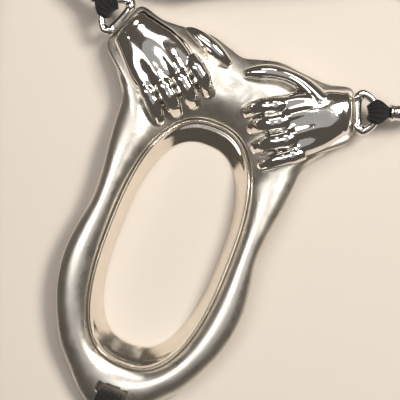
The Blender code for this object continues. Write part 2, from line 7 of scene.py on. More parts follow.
import bpy
import numpy as np
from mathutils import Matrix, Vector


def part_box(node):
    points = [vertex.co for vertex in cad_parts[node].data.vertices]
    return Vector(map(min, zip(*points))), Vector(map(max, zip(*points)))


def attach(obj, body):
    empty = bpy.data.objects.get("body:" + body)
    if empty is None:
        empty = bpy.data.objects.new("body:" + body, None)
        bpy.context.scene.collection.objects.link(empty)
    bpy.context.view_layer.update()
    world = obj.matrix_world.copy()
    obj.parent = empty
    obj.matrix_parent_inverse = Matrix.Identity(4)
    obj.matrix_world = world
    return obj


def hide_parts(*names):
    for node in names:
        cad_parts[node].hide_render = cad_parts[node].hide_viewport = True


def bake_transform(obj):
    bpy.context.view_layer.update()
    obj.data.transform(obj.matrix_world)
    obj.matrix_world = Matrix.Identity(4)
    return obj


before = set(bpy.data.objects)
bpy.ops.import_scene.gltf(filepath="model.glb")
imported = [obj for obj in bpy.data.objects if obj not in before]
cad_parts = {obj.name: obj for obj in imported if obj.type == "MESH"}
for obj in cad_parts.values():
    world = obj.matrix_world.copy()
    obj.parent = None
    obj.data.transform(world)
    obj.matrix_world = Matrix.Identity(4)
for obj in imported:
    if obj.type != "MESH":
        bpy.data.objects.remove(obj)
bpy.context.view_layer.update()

MM = 0.001
FULL_TURN = 2 * math.pi


def middle_of(node):
    """The middle of a CAD node's box, in metres."""
    low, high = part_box(node)
    return (np.array(low) + np.array(high)) / 2


# ---------------------------------------------------------------- sizes, in millimetres
OPENING_A, OPENING_B, OPENING_POWER, OPENING_Y = 14.9, 30.4, 2.5, -0.8
CREST_Z, ARCH_DROP, ARCH_HALF = 8.4, 3.6, 44.0
DOME, DOME_POWER = 1.6, 2.2
EDGE_WALL, MIDDLE_WALL = 1.0, 2.2
ROLL_DROP, ROLL_SHARE = 2.4, 0.6
# Right half of the frame's outline: x, y and the angle on the oval that each point faces
OUTLINE = [
    (0.0, -43.4, -90), (6.5, -40.2, -75), (11.2, -35.4, -62), (14.8, -31.3, -52), (17.8, -26.0, -42),
    (20.0, -20.7, -33), (21.4, -15.0, -24), (21.8, -9.0, -14), (21.2, -3.0, -5), (20.4, 3.0, 4),
    (20.6, 9.0, 12), (21.4, 15.5, 21), (21.9, 21.0, 29), (22.6, 27.0, 36), (26.0, 32.2, 43),
    (30.4, 37.4, 50), (28.6, 43.0, 56), (26.4, 48.3, 62), (20.5, 47.3, 67), (14.5, 47.6, 72),
    (8.0, 48.0, 79), (3.5, 46.8, 85), (0.0, 45.9, 90),
]
SLOT_WIDTH, SLOT_TOP_Y, SLOT_LOW_Y = 7.6, -35.9, -38.5
SLEEVE_GAP, SLEEVE_WALL, LIP_RISE, LIP_HALF = 0.3, 0.9, 0.2, 0.4
SLEEVE_IN_SIDES, SLEEVE_IN_ENDS = 3.0, 5.6
RING_RADIUS, WIRE_RADIUS = 4.5, 0.9
EYE_ARC, EYE_BACK = math.radians(76), 3.5
WRIST_ANGLE, WRIST_END, EYE_OUT = math.radians(21), (27.8, 42.9), 1.5
FERRULE_START, FERRULE_LENGTH = 7.5, 6.0
REAR_Z, REAR_FERRULE_Y = 3.4, -46.6
BAND_WIDTH, BAND_THICK, BAND_Z = 6.0, 1.0, 3.1
BACK_ANGLES = {"left": math.radians(90), "right": math.radians(210), "rear": math.radians(330)}

# What carries the opening's own counting to the frame's origin
SHIFT = np.array([0.0, middle_of("opening_sleeve")[1] / MM - OPENING_Y, 0.0])


def placed(points):
    """Points in millimetres, counted from the opening's datum, as metres in the frame."""
    return (np.asarray(points, float) + SHIFT) * MM


# ---------------------------------------------------------------- surfaces


def through(points, step):
    """Points a step apart on one smooth curve through the given rows.

    A cubic runs between each two rows; its slope at a row is the slope between the rows before and after it.
    """
    rows = np.asarray(points, float)
    along = np.concatenate([[0], np.cumsum(np.linalg.norm(np.diff(rows[:, :3], axis=0), axis=1))])
    slope = np.gradient(rows, along, axis=0)

    def at(t):
        i = np.clip(np.searchsorted(along, t, side="right") - 1, 0, len(rows) - 2)
        gap = (along[i + 1] - along[i])[:, None]
        s = ((t - along[i])[:, None]) / gap
        a, b = rows[i], rows[i + 1]
        ma, mb = slope[i] * gap, slope[i + 1] * gap
        return ((2 * s**3 - 3 * s**2 + 1) * a + (s**3 - 2 * s**2 + s) * ma
                + (3 * s**2 - 2 * s**3) * b + (s**3 - s**2) * mb)

    fine_t = np.linspace(0, along[-1], 60 * len(rows))
    fine = at(fine_t)
    length = np.concatenate([[0], np.cumsum(np.linalg.norm(np.diff(fine[:, :3], axis=0), axis=1))])
    count = max(4, int(round(length[-1] / step)) + 1)
    return at(np.interp(np.linspace(0, length[-1], count), length, fine_t))


def signed_volume(points, quads):
    """Six times the volume inside the faces, negative when they point inwards."""
    a, b, c, d = (points[quads[:, k]] for k in range(4))
    return float(np.einsum("ij,ij->", a, np.cross(b, c)) + np.einsum("ij,ij->", a, np.cross(c, d)))


def skin(name, grid, finish, ring=False):
    """One closed skin over a grid of points in metres.

    Rows run along the piece and columns round it.  A ring's last row joins its first; any other piece is
    closed by a cap on its first and last row.  The UV map counts millimetres along and round the piece.
    """
    rows, cols = grid.shape[:2]
    points = grid.reshape(-1, 3)
    spans = np.arange(rows if ring else rows - 1)
    i, j = (k.ravel() for k in np.meshgrid(spans, np.arange(cols), indexing="ij"))
    i2, j2 = (i + 1) % rows, (j + 1) % cols
    quads = np.stack([i * cols + j, i2 * cols + j, i2 * cols + j2, i * cols + j2], axis=1)
    corner_u = np.stack([i, i + 1, i + 1, i], axis=1)
    corner_v = np.stack([j, j, j + 1, j + 1], axis=1)
    turned = signed_volume(points, quads) < 0
    if turned:
        quads, corner_u, corner_v = quads[:, ::-1], corner_u[:, ::-1], corner_v[:, ::-1]
    faces = quads.tolist()
    closed_rows = np.concatenate([grid, grid[:1]])
    closed_cols = np.concatenate([grid, grid[:, :1]], axis=1)
    row_gaps = np.linalg.norm(np.diff(closed_rows, axis=0), axis=2).mean(axis=1)
    col_gaps = np.linalg.norm(np.diff(closed_cols, axis=1), axis=2).mean(axis=0)
    u = np.concatenate([[0], np.cumsum(row_gaps)]) / MM
    v = np.concatenate([[0], np.cumsum(col_gaps)]) / MM
    uv = np.stack([u[corner_u.ravel()], v[corner_v.ravel()]], axis=1)
    if not ring:
        first, last = list(range(cols)), list(range((rows - 1) * cols, rows * cols))
        faces += [first[::-1], last] if turned else [first, last[::-1]]
        uv = np.concatenate([uv, np.zeros((2 * cols, 2))])
    mesh = bpy.data.meshes.new(name)
    mesh.from_pydata(points.tolist(), [], faces)
    layer = mesh.uv_layers.new(name="surface_mm")
    layer.data.foreach_set("uv", uv.astype(np.float32).ravel())
    return finished(name, mesh, finish)


def finished(name, mesh, finish):
    """An object for a mesh, smooth, in its finish."""
    mesh.materials.clear()
    mesh.materials.append(finish)
    mesh.shade_smooth()
    obj = bpy.data.objects.new(name, mesh)
    bpy.context.scene.collection.objects.link(obj)
    return obj


def made_fast(obj):
    """Puts the result of an object's modifiers in its mesh and drops them."""
    graph = bpy.context.evaluated_depsgraph_get()
    mesh = bpy.data.meshes.new_from_object(obj.evaluated_get(graph))
    obj.modifiers.clear()
    obj.data = mesh
    return obj


def unit(vectors):
    return vectors / np.linalg.norm(vectors, axis=-1, keepdims=True)


def carried(path, across, over, up=(0.0, 0.0, 1.0), ring=False):
    """A section carried along a path, as a grid.

    Each point is the path point + across x side direction + over x upward direction.
    across and over hold one section per path point.  The side direction is square to the run and to up.
    """
    run = np.roll(path, -1, axis=0) - np.roll(path, 1, axis=0)
    if not ring:
        run[0], run[-1] = path[1] - path[0], path[-1] - path[-2]
    run = unit(run)
    side = unit(np.cross(run, np.broadcast_to(np.asarray(up, float), run.shape)))
    rise = np.cross(side, run)
    return path[:, None] + across[..., None] * side[:, None] + over[..., None] * rise[:, None]


# ---------------------------------------------------------------- finishes


def effect(name, inputs, outputs):
    """An empty node group with its sockets, and its way in and out."""
    group = bpy.data.node_groups.new(name, "ShaderNodeTree")
    for label, kind, value in inputs:
        socket = group.interface.new_socket(label, in_out="INPUT", socket_type=kind)
        if value is not None:
            socket.default_value = value
    for label, kind in outputs:
        group.interface.new_socket(label, in_out="OUTPUT", socket_type=kind)
    return group, group.nodes.new("NodeGroupInput"), group.nodes.new("NodeGroupOutput")


def node(tree, kind, settings=None, **inputs):
    """A node with its settings and its inputs; an input is a value or another node's socket.

    An input is named with its label, or with i and its place among the node's inputs.
    """
    made = tree.nodes.new("ShaderNode" + kind)
    for key, value in (settings or {}).items():
        setattr(made, key, value)
    for key, value in inputs.items():
        by_place = key[0] == "i" and key[1:].isdigit()
        socket = made.inputs[int(key[1:]) if by_place else key.replace("_", " ")]
        if isinstance(value, bpy.types.NodeSocket):
            tree.links.new(value, socket)
        else:
            socket.default_value = value
    return made


def sums(tree, operation, *values):
    """One arithmetic step on values or sockets."""
    numbered = {f"i{k}": v for k, v in enumerate(values)}
    return node(tree, "Math", {"operation": operation}, **numbered).outputs[0]


def ranged(tree, value, low, high, to_low, to_high):
    """A value taken from one range to another, and held inside it."""
    made = node(tree, "MapRange", None, Value=value, From_Min=low, From_Max=high, To_Min=to_low,
                To_Max=to_high)
    return made.outputs[0]


def grain_effect():
    """Long fine polishing lines, as their height and dullness: noise on a vector drawn out one way."""
    tree, start, end = effect(
        "polishing_lines",
        [("Vector", "NodeSocketVector", None), ("Length", "NodeSocketFloat", 0.05),
         ("Fineness", "NodeSocketFloat", 9.0)],
        [("Height", "NodeSocketFloat"), ("Dullness", "NodeSocketFloat")],
    )
    stretch = node(tree, "CombineXYZ", None, X=start.outputs["Length"], Y=1.0, Z=1.0)
    drawn = node(tree, "VectorMath", {"operation": "MULTIPLY"}, i0=start.outputs["Vector"],
                 i1=stretch.outputs[0])
    lines = node(tree, "TexNoise", None, Vector=drawn.outputs[0], Scale=start.outputs["Fineness"],
                 Detail=4.0, Roughness=0.65)
    patches = node(tree, "TexNoise", None, Vector=start.outputs["Vector"], Scale=0.22, Detail=2.0)
    mixed = sums(tree, "MULTIPLY", lines.outputs[0], patches.outputs[0])
    tree.links.new(lines.outputs[0], end.inputs["Height"])
    tree.links.new(mixed, end.inputs["Dullness"])
    return tree


def handling_effect():
    """Wear from handling: soft cloudy smears and a few short hairline marks."""
    tree, start, end = effect(
        "handling_marks",
        [("Vector", "NodeSocketVector", None), ("Size", "NodeSocketFloat", 300.0)],
        [("Smears", "NodeSocketFloat"), ("Hairlines", "NodeSocketFloat"), ("Waves", "NodeSocketFloat")],
    )
    clouds = node(tree, "TexNoise", None, Vector=start.outputs["Vector"], Scale=start.outputs["Size"],
                  Detail=4.0, Roughness=0.6)
    slanted = node(tree, "Mapping", None, Vector=start.outputs["Vector"], Rotation=(0.3, 0.2, 0.7),
                   Scale=(0.12, 1.0, 1.0))
    hair = node(tree, "TexNoise", None, Vector=slanted.outputs[0], Scale=4200.0, Detail=1.0)
    waves = node(tree, "TexNoise", None, Vector=start.outputs["Vector"], Scale=520.0, Detail=1.0)
    tree.links.new(ranged(tree, clouds.outputs[0], 0.35, 0.7, 0.0, 1.0), end.inputs["Smears"])
    tree.links.new(ranged(tree, hair.outputs[0], 0.66, 0.74, 0.0, 1.0), end.inputs["Hairlines"])
    tree.links.new(waves.outputs[0], end.inputs["Waves"])
    return tree


def shade_in_hollows_effect():
    """Painted shade that stays in hollows: a mask from the hollow value, broken up by noise."""
    tree, start, end = effect(
        "hollow_painted_shade",
        [("Hollow", "NodeSocketFloat", 0.0), ("Vector", "NodeSocketVector", None),
         ("Amount", "NodeSocketFloat", 1.0)],
        [("Mask", "NodeSocketFloat")],
    )
    speckle = node(tree, "TexNoise", None, Vector=start.outputs["Vector"], Scale=900.0, Detail=3.0)
    lowered = sums(tree, "SUBTRACT", start.outputs["Hollow"], 0.25)
    loosened = sums(tree, "MULTIPLY_ADD", speckle.outputs[0], 0.5, lowered)
    held = ranged(tree, loosened, 0.12, 0.8, 0.0, 1.0)
    tree.links.new(sums(tree, "MULTIPLY", held, start.outputs["Amount"]), end.inputs["Mask"])
    return tree


def weave_effect():
    """Elastic cloth: covered rubber ribs along the band and the cross threads that bind them.
    The threads and fuzz that stand highest are painted lighter: a painted sheen on the crests.
    """
    tree, start, end = effect(
        "elastic_weave",
        [("Vector", "NodeSocketVector", None), ("Rib", "NodeSocketFloat", 1.0),
         ("Thread", "NodeSocketFloat", 0.32)],
        [("Height", "NodeSocketFloat"), ("Crest_sheen", "NodeSocketFloat")],
    )
    apart = node(tree, "SeparateXYZ", None, Vector=start.outputs["Vector"])
    per_rib = sums(tree, "DIVIDE", FULL_TURN, start.outputs["Rib"])
    rib = sums(tree, "SINE", sums(tree, "MULTIPLY", apart.outputs[1], per_rib))
    per_thread = sums(tree, "DIVIDE", FULL_TURN, start.outputs["Thread"])
    thread_turn = sums(tree, "MULTIPLY", apart.outputs[0], per_thread)
    thread = sums(tree, "SINE", sums(tree, "ADD", thread_turn, sums(tree, "MULTIPLY", rib, 1.4)))
    fuzz = node(tree, "TexNoise", None, Vector=start.outputs["Vector"], Scale=6.0, Detail=3.0)
    height = sums(tree, "ADD", sums(tree, "MULTIPLY", thread, 0.5),
                  sums(tree, "MULTIPLY", fuzz.outputs[0], 0.8))
    # Painted sheen: the colour rises with the thread and fuzz height, lighter on the crests
    shade = sums(tree, "MULTIPLY_ADD", thread, 0.3, fuzz.outputs[0])
    tree.links.new(height, end.inputs["Height"])
    tree.links.new(ranged(tree, shade, 0.1, 0.95, 0.0, 1.0), end.inputs["Crest_sheen"])
    return tree


EFFECTS = {"grain": grain_effect(), "handling": handling_effect(), "painted_shade": shade_in_hollows_effect(),
           "weave": weave_effect()}


def placed_effect(tree, which, **inputs):
    """One of the effects put in a material's tree, with its inputs set or linked."""
    made = tree.nodes.new("ShaderNodeGroup")
    made.node_tree = EFFECTS[which]
    for key, value in inputs.items():
        if isinstance(value, bpy.types.NodeSocket):
            tree.links.new(value, made.inputs[key])
        else:
            made.inputs[key].default_value = value
    return made


def fresh(name, **constants):
    """A new material, its node tree and its shader with the constants set."""
    material = bpy.data.materials.new(name)
    material.use_nodes = True
    shader = material.node_tree.nodes["Principled BSDF"]
    for key, value in constants.items():
        shader.inputs[key.replace("_", " ")].default_value = value
    return material, material.node_tree, shader


def silver(name, bright, dull, shade_colour, polish, grain, waves, has_hollow=False):
    """Cast silver.

    bright is its colour and shade_colour the painted shade laid in its hollows, polish and dull the least and
    most roughness, grain the depth of its polishing lines and waves that of the casting's own unevenness, in
    millimetres.
    """
    material, tree, shader = fresh(name, Metallic=1.0)
    places = node(tree, "TexCoord")
    lines = placed_effect(tree, "grain", Vector=places.outputs["UV"], Length=0.05, Fineness=9.0)
    marks = placed_effect(tree, "handling", Vector=places.outputs["Object"])
    hollow = node(tree, "Attribute", {"attribute_name": "hollow"}).outputs["Fac"] if has_hollow else 0.0
    # Painted shade: the hollow mask darkens the colour in creases and between the fingers, and dulls them a
    # little
    shade_mask = placed_effect(tree, "painted_shade", Hollow=hollow, Vector=places.outputs["Object"], Amount=0.9)
    rough = ranged(tree, sums(tree, "MULTIPLY_ADD", marks.outputs["Smears"], 0.45, lines.outputs["Dullness"]),
                   0.1, 0.9, polish, dull)
    worn = sums(tree, "MULTIPLY_ADD", marks.outputs["Hairlines"], 0.10, rough)
    tree.links.new(sums(tree, "MULTIPLY_ADD", shade_mask.outputs["Mask"], 0.22, worn), shader.inputs["Roughness"])
    cloud = node(tree, "MixRGB", None, Fac=marks.outputs["Smears"], Color1=(*bright, 1.0),
                 Color2=(*(c * 0.93 for c in bright), 1.0))
    # Painted shade mixed into the silver's colour where the hollow mask is
    shaded = node(tree, "MixRGB", None, Fac=shade_mask.outputs["Mask"], Color1=cloud.outputs[0],
                  Color2=(*shade_colour, 1.0))
    tree.links.new(shaded.outputs[0], shader.inputs["Base Color"])
    height = sums(tree, "ADD", sums(tree, "MULTIPLY", lines.outputs["Height"], grain),
                  sums(tree, "MULTIPLY", marks.outputs["Waves"], waves))
    bump = node(tree, "Bump", None, Strength=1.0, Distance=MM, Height=height)
    tree.links.new(bump.outputs[0], shader.inputs["Normal"])
    return material


def elastic(name, dark, light, rib):
    """Black elastic: matt threads with a low sheen over ribs of covered rubber, the raised threads painted
    lighter as a painted sheen.
    """
    material, tree, shader = fresh(name, Specular_IOR_Level=0.35, Sheen_Weight=0.25, Sheen_Roughness=0.45)
    places = node(tree, "TexCoord")
    cloth = placed_effect(tree, "weave", Vector=places.outputs["UV"], Rib=rib)
    # The light colour goes on the raised threads: a painted sheen on the crests
    colour = node(tree, "MixRGB", None, Fac=cloth.outputs["Crest_sheen"], Color1=(*dark, 1.0), Color2=(*light, 1.0))
    tree.links.new(colour.outputs[0], shader.inputs["Base Color"])
    tree.links.new(ranged(tree, cloth.outputs["Crest_sheen"], 0.0, 1.0, 0.85, 0.62), shader.inputs["Roughness"])
    bump = node(tree, "Bump", None, Strength=0.8, Distance=0.06 * MM, Height=cloth.outputs["Height"])
    tree.links.new(bump.outputs[0], shader.inputs["Normal"])
    return material


# The third colour of each silver is the painted shade laid in its hollows
SATIN = silver("satin_silver_frame", (0.86, 0.82, 0.75), 0.42, (0.20, 0.15, 0.10), 0.24, 0.012, 0.010,
               has_hollow=True)
POLISHED = silver("polished_silver_hands", (0.93, 0.90, 0.85), 0.16, (0.10, 0.075, 0.05), 0.03, 0.0008,
                  0.006, has_hollow=True)
SLEEVE = silver("polished_silver_sleeve", (0.88, 0.82, 0.73), 0.26, (0.22, 0.16, 0.10), 0.10, 0.004, 0.008)
WIRE = silver("polished_silver_wire", (0.92, 0.89, 0.84), 0.20, (0.12, 0.09, 0.06), 0.06, 0.002, 0.004)
PEG = silver("silver_pin", (0.88, 0.85, 0.79), 0.40, (0.12, 0.09, 0.06), 0.22, 0.004, 0.004)
ELASTIC = elastic("black_ribbed_elastic", (0.004, 0.004, 0.0045), (0.022, 0.021, 0.022), 1.0)
TIE = elastic("black_tie_ribbon", (0.010, 0.010, 0.011), (0.04, 0.038, 0.04), 0.5)


# ---------------------------------------------------------------- camera, floor and light

VIEW_MIDDLE = (2.9 * MM, 8.7 * MM, 4.5 * MM)
VIEW_WIDTH, VIEW_DISTANCE = 0.0924, 0.32
VIEW_TURN = math.radians(21.5)
SENSOR = 36.0
FLOOR_HALF = 3.0


def make_camera():
    data = bpy.data.cameras.new("camera")
    data.sensor_width = SENSOR
    data.lens = SENSOR * VIEW_DISTANCE / VIEW_WIDTH
    data.clip_start, data.clip_end = 0.01, 20.0
    camera = bpy.data.objects.new("camera", data)
    camera.location = (VIEW_MIDDLE[0], VIEW_MIDDLE[1], VIEW_MIDDLE[2] + VIEW_DISTANCE)
    camera.rotation_euler = (0.0, 0.0, VIEW_TURN)
    bpy.context.scene.collection.objects.link(camera)
    bpy.context.scene.camera = camera


def make_light(name, size, power, colour, right, up, high):
    """A soft panel aimed at the piece.  right and up are its place as seen by the camera, in metres."""
    data = bpy.data.lights.new(name, "AREA")
    data.shape = "RECTANGLE"
    data.size, data.size_y = size
    data.energy = power
    data.color = colour
    panel = bpy.data.objects.new(name, data)
    c, s = math.cos(VIEW_TURN), math.sin(VIEW_TURN)
    place = np.array([VIEW_MIDDLE[0] + right * c - up * s, VIEW_MIDDLE[1] + right * s + up * c, high])
    aim = np.array(VIEW_MIDDLE) - place
    panel.location = place
    tilt, heading = math.atan2(math.hypot(aim[0], aim[1]), -aim[2]), math.atan2(aim[1], aim[0])
    panel.rotation_euler = (tilt, 0.0, heading - math.pi / 2)
    bpy.context.scene.collection.objects.link(panel)


def make_floor():
    material, tree, shader = fresh("pale_floor", Roughness=0.62, Specular_IOR_Level=0.3)
    places = node(tree, "TexCoord")
    cloud = node(tree, "TexNoise", None, Vector=places.outputs["Object"], Scale=9.0, Detail=2.0)
    fibre = node(tree, "TexNoise", None, Vector=places.outputs["Object"], Scale=2600.0, Detail=2.0)
    tone = node(tree, "MixRGB", None, Fac=cloud.outputs[0], Color1=(0.80, 0.725, 0.65, 1.0),
                Color2=(0.86, 0.79, 0.715, 1.0))
    tree.links.new(tone.outputs[0], shader.inputs["Base Color"])
    bump = node(tree, "Bump", None, Strength=0.15, Distance=0.05 * MM, Height=fibre.outputs[0])
    tree.links.new(bump.outputs[0], shader.inputs["Normal"])
    half = FLOOR_HALF
    corners = [(-half, -half, 0), (half, -half, 0), (half, half, 0), (-half, half, 0)]
    mesh = bpy.data.meshes.new("floor")
    mesh.from_pydata(corners, [], [(0, 1, 2, 3)])
    finished("floor", mesh, material)


def make_world():
    world = bpy.data.worlds.new("studio")
    world.use_nodes = True
    back = world.node_tree.nodes["Background"]
    back.inputs["Color"].default_value = (0.30, 0.265, 0.23, 1.0)
    back.inputs["Strength"].default_value = 0.30
    bpy.context.scene.world = world
    bpy.context.scene.view_settings.view_transform = "Standard"


make_camera()
make_world()
make_floor()
make_light("key_panel", (0.20, 0.20), 3.0, (1.0, 0.95, 0.88), 0.34, 0.20, 0.50)
make_light("left_panel", (0.20, 0.42), 0.9, (1.0, 0.97, 0.94), -0.24, 0.06, 0.62)
make_light("far_panel", (0.34, 0.14), 0.6, (1.0, 0.96, 0.90), 0.02, 0.42, 0.55)
make_light("overhead_panel", (1.0, 0.8), 0.75, (0.94, 0.96, 1.0), 0.05, 0.05, 1.00)


# ---------------------------------------------------------------- elastic straps

# From the ferrules to the coil, in millimetres: x, y and z of the band's middle, as the CAD solids lie
LEFT_ROUTE = [
    (-40.5, 47.8, 6.1), (-42.9, 48.7, 5.6), (-47.4, 51.0, 4.0), (-51.2, 55.6, 3.1), (-54.0, 61.0, 3.1),
]
RIGHT_ROUTE = [
    (40.5, 47.8, 6.1), (42.9, 48.7, 5.6), (46.0, 51.6, 4.4), (46.4, 56.4, 3.4), (43.4, 63.0, 3.1),
    (38.8, 70.2, 3.1), (33.2, 75.4, 3.1), (26.0, 75.6, 3.1), (14.0, 70.0, 3.1), (1.0, 64.0, 3.1),
    (-10.0, 58.8, 3.1), (-18.4, 54.2, 3.1),
]
REAR_ROUTE = [
    (0.0, -50.6, 3.4), (0.0, -53.0, 3.4), (-0.6, -56.6, 3.1), (-3.6, -59.2, 3.1), (-10.0, -58.4, 3.1),
    (-19.0, -54.8, 3.1), (-26.6, -49.6, 3.1), (-32.0, -37.0, 3.1), (-39.2, -19.0, 3.1), (-46.6, 0.0, 3.1),
    (-53.4, 18.0, 3.1), (-58.8, 34.0, 3.1), (-61.0, 46.0, 3.1), (-61.2, 58.0, 3.1), (-59.8, 68.0, 3.1),
]
COIL_MIDDLE = (-32.0, 78.0)
COIL_START, COIL_PITCH, COIL_LAYER = 17.5, 3.45, 1.15
# Each strap's layer in the coil, and the turn, in degrees, where its winding begins and ends
WINDING = {"rear": (2, -390.0, 522.0), "left": (1, -270.0, 532.0), "right": (0, -150.0, 628.0)}
BACK_Z = 2.5
STRAP_STEP = 0.8


def winding(word):
    """Points of a strap's winding from outside to inside, ending in its ferrule at the ring.

    The radius grows evenly with the turn, one pitch a round; each strap's layer lies beside the next.
    """
    layer, first, last = WINDING[word]
    turn = np.arange(first + 34.0, last, 12.0)
    radius = COIL_START + COIL_PITCH * turn / 360.0 + COIL_LAYER * layer
    start = np.array([
        (0.0, 11.6, BACK_Z), (0.0, 13.2, BACK_Z), (2.0, 14.5, 2.7), (8.0, 15.5, 2.9), (18.0, 16.05, BAND_Z),
    ])
    angle = np.radians(np.concatenate([first + start[:, 0], turn]))
    reach = np.concatenate([start[:, 1], radius])
    high = np.concatenate([start[:, 2], np.full(len(turn), BAND_Z)])
    x = COIL_MIDDLE[0] + reach * np.cos(angle)
    y = COIL_MIDDLE[1] + reach * np.sin(angle)
    return np.stack([x, y, high], axis=1)[::-1]


def band_section(width, thick, ribs, samples=31):
    """The elastic's outline for each point of a run: flat faces with rounded ribs and round edges.

    Across the band q runs from -1 to 1; each face stands half the thickness off the middle, falls to nothing
    at the edges as the 8th power of q, and carries a cosine of ribs.
    """
    q = np.sin(np.linspace(-math.pi / 2, math.pi / 2, samples))
    body = np.sqrt(np.clip(1 - q**8, 0, 1))
    rib = -np.cos(math.pi * ribs * (q + 1)) * np.clip(1 - q**8, 0, 1)
    face = thick[:, None] / 2 * body + 0.085 * rib
    tall = width[:, None] / 2 * q
    over = np.concatenate([tall, tall[:, -2:0:-1]], axis=1)
    across = np.concatenate([face, -face[:, -2:0:-1]], axis=1)
    return across * MM, over * MM


def make_strap(word, route):
    """One hip or tail strap: gathered in the ferrules at its ends, 6 mm wide on edge between them."""
    path = through(np.concatenate([np.asarray(route, float), winding(word)]), STRAP_STEP)
    along = np.arange(len(path)) * STRAP_STEP
    from_end = np.minimum(along, along[-1] - along)
    opened = np.clip((from_end - 2.0) / 8.0, 0, 1)
    opened = opened * opened * (3 - 2 * opened)
    width = 2.4 + (BAND_WIDTH - 0.15 - 2.4) * opened
    thick = 2.2 + (BAND_THICK - 0.12 - 2.2) * opened
    centre = placed(path)
    across, over = band_section(width, thick, 5)
    strap = skin(f"{word}_strap_elastic", carried(centre, across, over), ELASTIC)
    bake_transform(strap)
    return strap, centre


# ---------------------------------------------------------------- frame plate and sleeve


def oval(angle, inset_sides=0.0, inset_ends=0.0):
    """The opening's superellipse at an angle, drawn in by so much at its sides and ends."""
    c, s = np.cos(angle), np.sin(angle)
    x = (OPENING_A - inset_sides) * np.sign(c) * np.abs(c) ** (2 / OPENING_POWER)
    y = (OPENING_B - inset_ends) * np.sign(s) * np.abs(s) ** (2 / OPENING_POWER)
    return x, y + OPENING_Y


def arch_height(y):
    """The height of the crest, highest beside the opening's middle."""
    return CREST_Z - ARCH_DROP * (y / ARCH_HALF) ** 2


def roll_weight(angle):
    """0 along the rails and 1 at the top end, where the plate rolls down into the opening."""
    t = np.clip((np.sin(angle) - 0.55) / 0.40, 0, 1)
    return t * t * (3 - 2 * t)


def crease(x, y):
    """The bowed crease between the hands: 1 on its line and 0 a millimetre off it."""
    line = 39.4 - 0.075 * (x + 0.6) ** 2
    ends = np.clip(1 - (np.abs(x + 0.2) / 7.5) ** 4, 0, 1)
    return np.exp(-(((y - line) / 0.9) ** 2)) * ends


def plate_top(x, y, share, angle):
    """The plate's upper face: an arch along Y, a dome across the band, the top end's roll and its crease."""
    dome = DOME * np.abs(2 * share - 1) ** DOME_POWER
    roll = ROLL_DROP * roll_weight(angle) * np.clip(1 - share / ROLL_SHARE, 0, 1) ** 1.7
    return arch_height(y) - dome - roll - 0.35 * crease(x, y)


def outline_at(angle):
    """The outer edge's x and y at each oval angle, on one smooth closed curve."""
    right = list(OUTLINE)
    left = [(-x, y, 180 - a) for x, y, a in OUTLINE[-2:0:-1]]
    rows = np.array(right + left + [(x, y, a + 360) for x, y, a in right[:2]], float)
    rows = np.vstack([rows[-3] - (0, 0, 360), rows])
    dense = through(rows[:, [0, 1, 2]] * (1, 1, 1e-3), 0.05)
    turn = np.degrees(angle)
    return np.interp(turn, dense[:, 2] * 1e3, dense[:, 0]), np.interp(turn, dense[:, 2] * 1e3, dense[:, 1])


def make_plate():
    """The frame plate, as a section carried round the opening.

    The section's share across the band and its half wall are the cosine and sine of one turn, both to a
    power below one, so that its corners are rounded.
    """
    angle = np.radians(np.linspace(-90, 270, 620, endpoint=False))
    turn = np.linspace(0, FULL_TURN, 88, endpoint=False)
    c, s = np.cos(turn), np.sin(turn)
    share = 0.5 + 0.5 * np.sign(c) * np.abs(c) ** 0.6
    rounded = np.sign(s) * np.abs(s) ** 0.42
    x, y = outline_at(angle)
    inner_x, inner_y = oval(angle)
    px = inner_x[:, None] + (x - inner_x)[:, None] * share
    py = inner_y[:, None] + (y - inner_y)[:, None] * share
    top = plate_top(px, py, share, angle[:, None])
    wall = EDGE_WALL + (MIDDLE_WALL - EDGE_WALL) * (1 - (2 * share - 1) ** 2)
    grid = placed(np.stack([px, py, top - wall / 2 * (1 - rounded)], axis=2))
    plate = skin("frame_plate_cast", grid, SATIN, ring=True)
    slot = slot_cutter()
    cut = plate.modifiers.new("slot", "BOOLEAN")
    cut.operation, cut.object, cut.solver = "DIFFERENCE", slot, "EXACT"
    made_fast(plate)
    bpy.data.objects.remove(slot)
    # The hollow values set where the painted shade lies on the plate
    hollow_of(plate, 10, 9.0)
    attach(plate, "metalwork")
    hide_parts("frame_plate")


def slot_cutter():
    """An upright bar with the slot's outline, a superellipse, for cutting."""
    turn = np.linspace(0, FULL_TURN, 64, endpoint=False)
    c, s = np.cos(turn), np.sin(turn)
    x = SLOT_WIDTH / 2 * np.sign(c) * np.abs(c) ** 0.4
    y = (SLOT_TOP_Y + SLOT_LOW_Y) / 2 + (SLOT_TOP_Y - SLOT_LOW_Y) / 2 * np.sign(s) * np.abs(s) ** 0.6
    grid = np.stack([placed(np.stack([x, y, np.full(len(x), z)], axis=1)) for z in (-3.0, 14.0)])
    return skin("slot_cutter", grid, SATIN)


def hollow_of(obj, rounds, gain):
    """Writes how far each point lies under its smoothed neighbourhood, as the hollow attribute.

    A point's neighbourhood is the mean of its neighbours, taken again so many rounds; the hollow is the
    distance to it along the point's normal, in millimetres, times the gain.
    """
    mesh = obj.data
    count = len(mesh.vertices)
    start = np.zeros(count * 3)
    mesh.vertices.foreach_get("co", start)
    start = start.reshape(-1, 3)
    normal = np.zeros(count * 3)
    mesh.vertices.foreach_get("normal", normal)
    normal = normal.reshape(-1, 3)
    edges = np.zeros(len(mesh.edges) * 2, int)
    mesh.edges.foreach_get("vertices", edges)
    a, b = edges[::2], edges[1::2]
    degree = np.maximum(np.bincount(a, minlength=count) + np.bincount(b, minlength=count), 1)
    now = start.copy()
    for _ in range(rounds):
        sums_of = [np.bincount(a, now[b, k], count) + np.bincount(b, now[a, k], count) for k in range(3)]
        now = np.stack(sums_of, axis=1) / degree[:, None]
    depth = np.einsum("ij,ij->i", now - start, normal) / MM * gain
    layer = mesh.attributes.new("hollow", "FLOAT", "POINT")
    layer.data.foreach_set("value", np.clip(depth, 0, 1).astype(np.float32))


